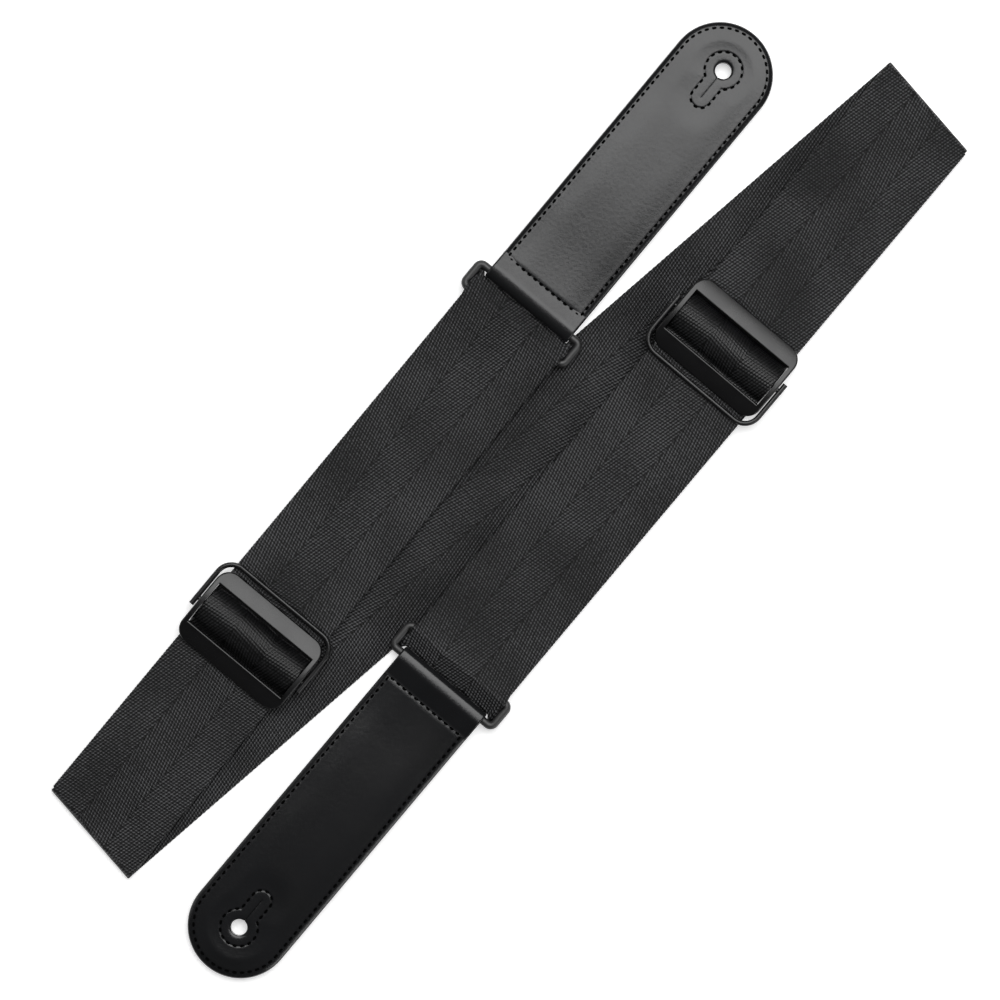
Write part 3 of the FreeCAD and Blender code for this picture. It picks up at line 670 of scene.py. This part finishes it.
def make_front_layer(end, material, arc, start_mid):
    """Upper layer from the slider to where it starts to turn round the ring."""
    low, _ = end.extent("webbing_front")
    resting = low[2] + THICK / 2
    loop_radius = end.extent("webbing_loop")[1][2] - end.bar_of_ring - THICK / 2
    angle = math.radians(CLIMB_SLOPE)
    over_tail = end.extent("webbing_sewn_end")[1][0] - low[0] + 1 * MM
    fall, fall_run = ramp_moves(resting - start_mid, SETTLE_SLOPE, SETTLE_RADIUS, SETTLE_RADIUS)
    end_x = end.strap_bar[0] - loop_radius * math.sin(angle)
    end_z = end.bar_of_ring + loop_radius * math.cos(angle)
    climb = end_z - resting - CLIMB_BEND * (1 - math.cos(angle))
    run = climb / math.tan(angle) + CLIMB_BEND * math.sin(angle)
    moves = [("line", over_tail)] + fall + [("line", end_x - run - fall_run - over_tail - low[0])]
    moves += [("arc", CLIMB_BEND, CLIMB_SLOPE), ("line", climb / math.sin(angle) - LOOP_LEAD)]
    path = trace((low[0], start_mid), 0.0, moves)
    piece, new_arc = sweep(f"webbing_front_cloth_{end.side}", end, path, material, HALF_WEB, THICK,
                           arc, relief=ripple(2.2), jag=EDGE_JAG)
    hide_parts(f"webbing_front_{end.side}")
    end.world((low[0], 0.0, resting))
    end.world((end_x, 0.0, resting))
    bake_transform(piece)
    return new_arc, path[-1]


def make_loop(end, material, arc, start):
    """Webbing round the ring: it droops past the bar and turns back in a tight tip."""
    _, high = end.extent("webbing_loop")
    radius = high[2] - end.bar_of_ring - THICK / 2
    droop = math.radians(LOOP_DROOP)
    tip_x = high[0] - end.strap_bar[0] - TIP_RADIUS - THICK / 2 + TIP_EXTRA
    drooping = (tip_x - (radius - TIP_RADIUS) * math.sin(droop)) / math.cos(droop)
    moves = [("line", LOOP_LEAD), ("arc", radius, -CLIMB_SLOPE - LOOP_DROOP), ("line", drooping),
             ("arc", TIP_RADIUS, LOOP_DROOP - 180.0), ("line", tip_x + LOOP_LEAD)]
    path = trace(start, CLIMB_SLOPE, moves, 0.5 * MM)
    past_bar = path[:, 0] - end.strap_bar[0] - radius
    flare = FLARE * np.clip(past_bar / (tip_x - radius), 0.0, 1.0)
    swell = LOOP_SWELL * np.clip((path[:, 0] - start[0]) / LOOP_LEAD, 0.0, 1.0)
    piece, new_arc = sweep(f"webbing_loop_cloth_{end.side}", end, path, material, HALF_WEB, THICK,
                           arc, swell=swell, flare=flare)
    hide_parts(f"webbing_loop_{end.side}")
    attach(piece, f"loop_{end.side}")
    return new_arc, path[-1]


def make_return_layer(end, material, arc, start):
    """Lower layer from the ring back to the sewn end."""
    sewn = end.extent("webbing_sewn_end")[1][0]
    path = trace(start, 180.0, [("line", start[0] - sewn)])
    piece, new_arc = sweep(f"webbing_return_cloth_{end.side}", end, path, material, HALF_WEB, THICK,
                           arc, relief=ripple(2.2, RETURN_RIPPLE), jag=EDGE_JAG)
    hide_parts(f"webbing_return_{end.side}")
    end.world((sewn, 0.0, start[1]))
    end.world((start[0], 0.0, start[1]))
    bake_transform(piece)
    return new_arc


def make_webbing(end, material, taut_painted_shade):
    arc = make_fold(end, material)
    arc = make_run(end, material, arc)
    # The hump gets the darkened copy of the webbing: painted shade on its flanks.
    arc, exit_mid = make_hump(end, taut_painted_shade, arc)
    arc, top_end = make_front_layer(end, material, arc, exit_mid)
    arc, under_start = make_loop(end, material, arc, top_end)
    arc = make_return_layer(end, material, arc, under_start)
    make_sewn_end(end, material, arc)


# ---------------------------------------------------------------- leather tabs
# the button hole and its slit, and how far in from the outline and out from them the thread runs
HOLE = 3.5 * MM
SLOT_END = 14.8 * MM
RIM = 2.6 * MM
EYE = 8.0 * MM
SLOT_HALF = 4.4 * MM
# the upper face
FACE_RISE = 2.8 * MM
GROOVE = 0.16 * MM
GROOVE_REACH = 0.5 * MM
PILLOW = 0.5 * MM
PILLOW_REACH = 6 * MM
CROWN = 0.8 * MM
RING_LIFT = 0.6 * MM
LIFT_LENGTH = 24 * MM
RIM_FALL = 1.2 * MM
RIM_POWER = 1.3
ROUNDING = 0.5 * MM
HOLE_LIP, HOLE_LIP_REACH = 0.55 * MM, 0.6 * MM
SLIT_LIP, SLIT_LIP_REACH = 0.22 * MM, 0.5 * MM
# the leather's loop round the ring, from the seam over the bar and back under the tab
LOOP_THICK = 1.4 * MM
LOOP_FOOT = 3 * MM
BULGE_RADIUS = 12.0 * MM
BULGE_FALL = 12.0
BULGE_RISE = 18.0
RIDGE_RADIUS = 5.0 * MM
TAIL_SLOPE = 20.0
TAIL_RADIUS = 3 * MM
TAIL_GAP = 0.2 * MM
# the back leather, and the half widths of the slits in front and back
BACK_GAP = 0.02 * MM
BACK_ROUNDING = 0.25 * MM
FRONT_SLIT = 0.15 * MM
BACK_SLIT = 0.05 * MM
BACK_SLIT_SHIFT = 0.35 * MM
# stitches
STITCH_PITCH = 3.25 * MM
STITCH_LENGTH = 2.4 * MM
STITCH_WIDTH = 0.55 * MM
STITCH_DIP = 0.5 * MM
STITCH_STAND = 0.16 * MM
SEAM_INSET = 0.35 * MM


def keyhole_distance(x, y):
    """Distance outside the keyhole's stitch line, with the button hole at the origin; negative
    inside."""
    eye = np.hypot(x, y) - EYE
    along = np.clip(x, -SLOT_END, 0.0)
    slot = np.hypot(x - along, y) - SLOT_HALF
    return np.minimum(eye, slot)


class Tab:
    """Sizes of one leather tab in its end's frame, and the height of its upper face."""

    def __init__(self, end):
        self.end = end
        front_low, front_high = end.extent("leather_front")
        back_low, back_high = end.extent("leather_back")
        stitches_low, _ = end.extent("edge_stitches")
        self.loop_edge = front_low[0]
        self.tip = front_high[0]
        self.half = front_high[1]
        self.centre = self.tip - self.half
        self.seam = stitches_low[0] + SEAM_INSET
        self.back_start = back_low[0]
        self.bottom = back_low[2]
        self.back_top = back_high[2]
        self.face = self.back_top + FACE_RISE
        self.middle = (self.seam + self.tip) / 2
        self.hole = end.hole

    def inset(self, x, y):
        """Distance in from the tab's outline."""
        reach = np.where(x > self.centre, np.hypot(x - self.centre, y), np.abs(y))
        return self.half - reach

    def top(self, x, y):
        """Height of the upper face: a groove under each row of stitches, padding that swells
        between the rows, a rim that falls away outwards, a low crown along the tab and a rise to
        the ring."""
        inset = self.inset(x, y)
        from_hole = (x - self.hole[0], y - self.hole[1])
        key = keyhole_distance(*from_hole)
        seam = np.minimum(np.minimum(np.abs(inset - RIM), np.abs(x - self.seam)), np.abs(key))
        groove = -GROOVE * np.exp(-(seam / GROOVE_REACH) ** 2)
        inner = np.minimum(np.maximum(inset - RIM, 0), np.maximum(key, 0))
        pillow = PILLOW * (1 - np.exp(-(inner / PILLOW_REACH) ** 2))
        crown = CROWN * (1 - ((x - self.middle) / (self.tip - self.middle)) ** 2)
        rim = -RIM_FALL * np.clip(1 - inset / RIM, 0, 1) ** RIM_POWER
        rounding = -ROUNDING * np.clip(1 - inset / ROUNDING, 0, 1) ** 2
        lift = RING_LIFT * np.clip(1 - (x - self.seam) / LIFT_LENGTH, 0, 1) ** 2
        outer = np.where(inset < RIM, rim, 0.0) + rounding
        return self.face + crown + groove + pillow + outer + lift - self.lip(*from_hole)

    def lip(self, x, y):
        """How far the face rolls down into the button hole and its slit."""
        hole = np.maximum(np.hypot(x, y) - HOLE, 0)
        slit = np.hypot(np.minimum(x + SLOT_END, 0), y)
        slit = np.where(x < 0, slit, np.hypot(x, y))
        rolled = HOLE_LIP * np.exp(-hole / HOLE_LIP_REACH)
        return rolled + SLIT_LIP * np.exp(-slit / SLIT_LIP_REACH)


FINE_INSETS = (0.0, 0.1, 0.25, 0.5, 0.9, 1.3, 1.7, 2.0, 2.25, 2.45, 2.6, 2.75, 2.95, 3.2, 3.6, 4.2,
               5.0, 6.0)
INSET_STEP = 0.9 * MM
BACK_INSETS = (0.0, 0.1, 0.25, 0.5, 1.0, 2.0, 4.0, 8.0, 14.0)
OUTLINE_STEP = 1.0 * MM


def inset_steps(half):
    """Distances in from the outline: fine round the stitches, then even."""
    steps = [value * MM for value in FINE_INSETS]
    while steps[-1] + INSET_STEP < half:
        steps.append(steps[-1] + INSET_STEP)
    return steps + [half]


def outline_columns(start, centre, half):
    """Unit places round a tab: along its lower side, round its tip and back."""
    count = max(2, round((centre - start) / OUTLINE_STEP))
    lower = [(start + (centre - start) * part / count, -1.0, 0.0) for part in range(count)]
    turns = max(8, round(math.pi * half / OUTLINE_STEP))
    tip = [(centre, -math.cos(math.pi * part / turns), math.sin(math.pi * part / turns))
           for part in range(turns + 1)]
    upper = [(x, 1.0, 0.0) for x, _, _ in reversed(lower)]
    return lower + tip + upper


def tab_solid(tab, start, steps, top, bottom):
    """Vertices and faces of a closed tab-shaped layer between two height functions."""
    columns = outline_columns(start, tab.centre, tab.half)
    count = len(steps)
    points = []
    for x, side, forward in columns:
        for inset in steps:
            reach = tab.half - inset
            px, py = x + forward * reach, side * reach
            points.append((px, py, 0.0))
    flat = np.array(points)
    upper = flat.copy()
    upper[:, 2] = top(flat[:, 0], flat[:, 1])
    lower = flat.copy()
    lower[:, 2] = bottom(flat[:, 0], flat[:, 1])
    total = len(flat)
    faces = []
    for column in range(len(columns) - 1):
        for row in range(count - 1):
            a = column * count + row
            b = a + count
            faces.append((a, b, b + 1, a + 1))
            faces.append((total + a, total + a + 1, total + b + 1, total + b))
        a = column * count
        faces.append((a, total + a, total + a + count, a + count))
    last = (len(columns) - 1) * count
    for row in range(count - 1):
        for base in (0, last):
            a = base + row
            faces.append((a, a + 1, total + a + 1, total + a))
    return np.concatenate((upper, lower)), faces


REFINE_REACH = 3.5 * MM
REFINE_ABOVE = 1 * MM


def refine(piece, tab):
    """Finer faces round the keyhole, for a piece still in its end's own frame."""
    def is_near(vert):
        key = keyhole_distance(vert.co.x - tab.hole[0], vert.co.y - tab.hole[1])
        return vert.co.z > tab.back_top + REFINE_ABOVE and key < REFINE_REACH

    work = bmesh.new()
    work.from_mesh(piece.data)
    near = [edge for edge in work.edges if all(is_near(vert) for vert in edge.verts)]
    bmesh.ops.subdivide_edges(work, edges=near, cuts=3, use_grid_fill=True)
    for vert in work.verts:
        if is_near(vert):
            vert.co.z = float(tab.top(np.array(vert.co.x), np.array(vert.co.y)))
    work.to_mesh(piece.data)
    work.free()


def to_world(piece, end):
    """Moves a mesh from its end's own frame to the shared one."""
    places = np.empty(len(piece.data.vertices) * 3)
    piece.data.vertices.foreach_get("co", places)
    piece.data.vertices.foreach_set("co", end.world(places.reshape(-1, 3)).ravel())
    piece.data.update()


def cut_keyhole(piece, tab, slit_half, shift=0.0):
    """Cuts the button hole and its nearly closed slit, shifted sideways, through a piece."""
    end = tab.end
    work = bmesh.new()
    sides = 40
    low, high = -2 * MM, 12 * MM

    def prism(outline):
        rings = []
        for height in (low, high):
            places = [(tab.hole[0] + x, tab.hole[1] + y, height) for x, y in outline]
            rings.append([work.verts.new(end.world(place)) for place in places])
        size = len(outline)
        for index in range(size):
            following = (index + 1) % size
            work.faces.new((rings[0][index], rings[0][following],
                            rings[1][following], rings[1][index]))
        work.faces.new(rings[0][::-1])
        work.faces.new(rings[1])

    near, far = (math.asin((shift + sign * slit_half) / HOLE) for sign in (-1, 1))
    outline = [(-SLOT_END, shift + slit_half), (-SLOT_END, shift - slit_half)]
    arc = [(-HOLE * math.cos(angle), -HOLE * math.sin(angle))
           for angle in np.linspace(-near, 2 * math.pi - far, sides)]
    prism(outline + arc)
    bmesh.ops.recalc_face_normals(work, faces=work.faces)
    mesh = bpy.data.meshes.new("keyhole_cutter")
    work.to_mesh(mesh)
    work.free()
    cutter = bpy.data.objects.new("keyhole_cutter", mesh)
    bpy.context.scene.collection.objects.link(cutter)
    cut = piece.modifiers.new("keyhole", "BOOLEAN")
    cut.operation = "DIFFERENCE"
    cut.solver = "EXACT"
    cut.object = cutter
    bpy.context.view_layer.update()
    evaluated = piece.evaluated_get(bpy.context.evaluated_depsgraph_get())
    finished = bpy.data.meshes.new_from_object(evaluated)
    piece.modifiers.clear()
    piece.data = finished
    bpy.data.objects.remove(cutter)


def shade(piece, angle=40.0):
    """Smooth shading with crisp edges."""
    piece.data.polygons.foreach_set("use_smooth", [True] * len(piece.data.polygons))
    piece.data.set_sharp_from_angle(angle=math.radians(angle))


def make_tab_front(tab, material):
    """The padded front leather, with its loop round the ring."""
    end = tab.end

    def bottom(x, y):
        return np.full(len(x), tab.back_top)

    points, faces = tab_solid(tab, tab.seam, inset_steps(tab.half), tab.top, bottom)
    piece = link_mesh(f"leather_front_{end.side}_hide", points, faces, material)
    refine(piece, tab)
    to_world(piece, end)
    weld(piece)
    cut_keyhole(piece, tab, FRONT_SLIT)
    shade(piece)
    loop = make_tab_loop(tab, material)
    join(piece, loop)
    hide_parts(f"leather_front_{end.side}", f"leather_core_{end.side}")
    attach(piece, f"tab_{end.side}")


def make_tab_loop(tab, material):
    """The front leather where it loops round the ring's bar."""
    end = tab.end
    bar_x, _, bar_z = end.leather_bar
    radius = bar_x - tab.loop_edge - LOOP_THICK / 2
    top_mid = tab.face + RING_LIFT - LOOP_THICK / 2
    fall = math.radians(BULGE_FALL)
    crest_x = bar_x + (BULGE_RADIUS - radius) * math.sin(fall)
    crest_z = bar_z + BULGE_RADIUS - (BULGE_RADIUS - radius) * math.cos(fall)
    rise, run = ramp_moves(crest_z - top_mid, BULGE_RISE, LOOP_FOOT, RIDGE_RADIUS)
    lift, lift_run = ramp_moves(tab.back_top + LOOP_THICK / 2 - (bar_z - radius), TAIL_SLOPE,
                                TAIL_RADIUS, TAIL_RADIUS)
    tail = tab.seam - bar_x - lift_run - TAIL_GAP
    moves = [("line", tab.seam - crest_x - run)] + mirrored(rise)
    moves += [("arc", BULGE_RADIUS, BULGE_FALL), ("arc", radius, 180.0 - BULGE_FALL)]
    moves += lift + [("line", tail)]
    path = trace((tab.seam, top_mid), 180.0, moves, 0.5 * MM)
    piece, _ = sweep("leather_loop", end, path, material, tab.half, LOOP_THICK)
    return piece


def weld(piece):
    """Merges vertices that meet and drops faces without area."""
    work = bmesh.new()
    work.from_mesh(piece.data)
    bmesh.ops.remove_doubles(work, verts=work.verts, dist=1e-5)
    bmesh.ops.dissolve_degenerate(work, edges=work.edges, dist=1e-7)
    bmesh.ops.recalc_face_normals(work, faces=work.faces)
    work.to_mesh(piece.data)
    work.free()


def join(piece, *others):
    """Adds the other meshes to the first piece."""
    work = bmesh.new()
    work.from_mesh(piece.data)
    for other in others:
        work.from_mesh(other.data)
    work.to_mesh(piece.data)
    work.free()
    for other in others:
        bpy.data.objects.remove(other)


def make_tab_back(tab, material):
    end = tab.end
    steps = [value * MM for value in BACK_INSETS] + [tab.half]

    def rounded(level, sign):
        def height(x, y):
            inset = np.maximum(tab.inset(x, y), 0)
            return level - sign * BACK_ROUNDING * np.clip(1 - inset / ROUNDING, 0, 1) ** 2
        return height

    points, faces = tab_solid(tab, tab.back_start, steps, rounded(tab.back_top - BACK_GAP, 1.0),
                              rounded(tab.bottom, -1.0))
    piece = link_mesh(f"leather_back_{end.side}_hide", end.world(points), faces, material)
    weld(piece)
    cut_keyhole(piece, tab, BACK_SLIT, BACK_SLIT_SHIFT)
    shade(piece)
    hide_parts(f"leather_back_{end.side}")
    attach(piece, f"tab_{end.side}")


def stitch_row(route):
    """Evenly spaced (place, direction) along a route of (x, y) points."""
    route = np.array(route)
    lengths = np.concatenate(([0.0], np.cumsum(np.hypot(*np.diff(route, axis=0).T))))
    count = max(2, round(lengths[-1] / STITCH_PITCH))
    result = []
    for index in range(count):
        middle = lengths[-1] * (index + 0.5) / count
        ahead = [np.interp(middle + 1e-4, lengths, route[:, axis]) for axis in (0, 1)]
        back = [np.interp(middle - 1e-4, lengths, route[:, axis]) for axis in (0, 1)]
        direction = np.array(ahead) - back
        place = np.array([np.interp(middle, lengths, route[:, axis]) for axis in (0, 1)])
        result.append((place, direction / np.hypot(*direction)))
    return result


def stitches_mesh(name, tab, row, material):
    """A row of thread stitches, each a small rounded bar whose ends dip into the leather."""
    end = tab.end
    around, along = 7, 6
    points, faces = [], []
    for place, direction in row:
        side = np.array((-direction[1], direction[0]))
        height = float(tab.top(np.array([place[0]]), np.array([place[1]]))[0])
        base = len(points)
        for step in range(along + 1):
            part = step / along * 2 - 1
            girth = STITCH_WIDTH * math.sqrt(max(0.04, 1 - part ** 4))
            dip = -STITCH_DIP * part ** 2 + STITCH_STAND
            for turn in range(around):
                angle = 2 * math.pi * turn / around
                offset = side * math.cos(angle) * girth
                spot = place + direction * part * STITCH_LENGTH / 2 + offset
                points.append((spot[0], spot[1], height + dip + math.sin(angle) * girth * 0.75))
        for step in range(along):
            for turn in range(around):
                following = (turn + 1) % around
                a = base + step * around
                faces.append((a + turn, a + following, a + around + following, a + around + turn))
        faces.append(tuple(base + turn for turn in range(around))[::-1])
        faces.append(tuple(base + along * around + turn for turn in range(around)))
    piece = link_mesh(name, end.world(points), faces, material)
    fix_normals(piece)
    return piece


def make_stitches(tab, material):
    """Rows of thread round the tab's edge and round the keyhole."""
    end = tab.end
    reach = tab.half - RIM
    arc = [(tab.centre + reach * math.sin(angle), -reach * math.cos(angle))
           for angle in np.linspace(0, math.pi, 60)]
    route = [(tab.seam, 0.0), (tab.seam, -reach)] + arc + [(tab.seam, reach), (tab.seam, 0.0)]
    edge = stitches_mesh(f"edge_thread_{end.side}", tab, stitch_row(route), material)
    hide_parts(f"edge_stitches_{end.side}")
    meet = math.asin(SLOT_HALF / EYE)
    eye = [(-EYE * math.cos(angle), -EYE * math.sin(angle))
           for angle in np.linspace(meet, 2 * math.pi - meet, 50)]
    nose = [(-SLOT_END - SLOT_HALF * math.sin(angle), SLOT_HALF * math.cos(angle))
            for angle in np.linspace(0, math.pi, 20)]
    key = [(x + tab.hole[0], y + tab.hole[1]) for x, y in eye + nose + eye[:1]]
    hole = stitches_mesh(f"keyhole_thread_{end.side}", tab, stitch_row(key), material)
    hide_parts(f"keyhole_stitches_{end.side}")
    for piece in (edge, hole):
        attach(piece, f"tab_{end.side}")


# ---------------------------------------------------------------- build
make_camera()
make_lights()
make_floor(floor_material())
webbing = webbing_material()
# The hump's webbing has less relief and lower roughness for the stretched cloth. Its colour at 0.3
# of the webbing's is painted shade that darkens the hump's flanks.
taut_webbing_painted_shade = webbing_material("webbing_taut_painted_shade", depth=0.45, tone=0.3, rough=0.42, smooth=0.22)
leather = leather_material()
hardware = hardware_material("hardware", 0.24, 0.31, 0.5)
wire = hardware_material("wire", 0.48, 0.56, 1.0)
black_thread = thread_material("thread", 0.0015)
make_middle(webbing)
for end in ends.values():
    make_webbing(end, webbing, taut_webbing_painted_shade)
    tab = Tab(end)
    make_tab_front(tab, leather)
    make_tab_back(tab, leather)
    make_stitches(tab, black_thread)
for name, node in frame["nodes"].items():
    finish = wire if name.startswith("ring") else hardware
    if "stitches" in name or "seam" in name:
        finish = black_thread
    node.data.materials.clear()
    node.data.materials.append(finish)
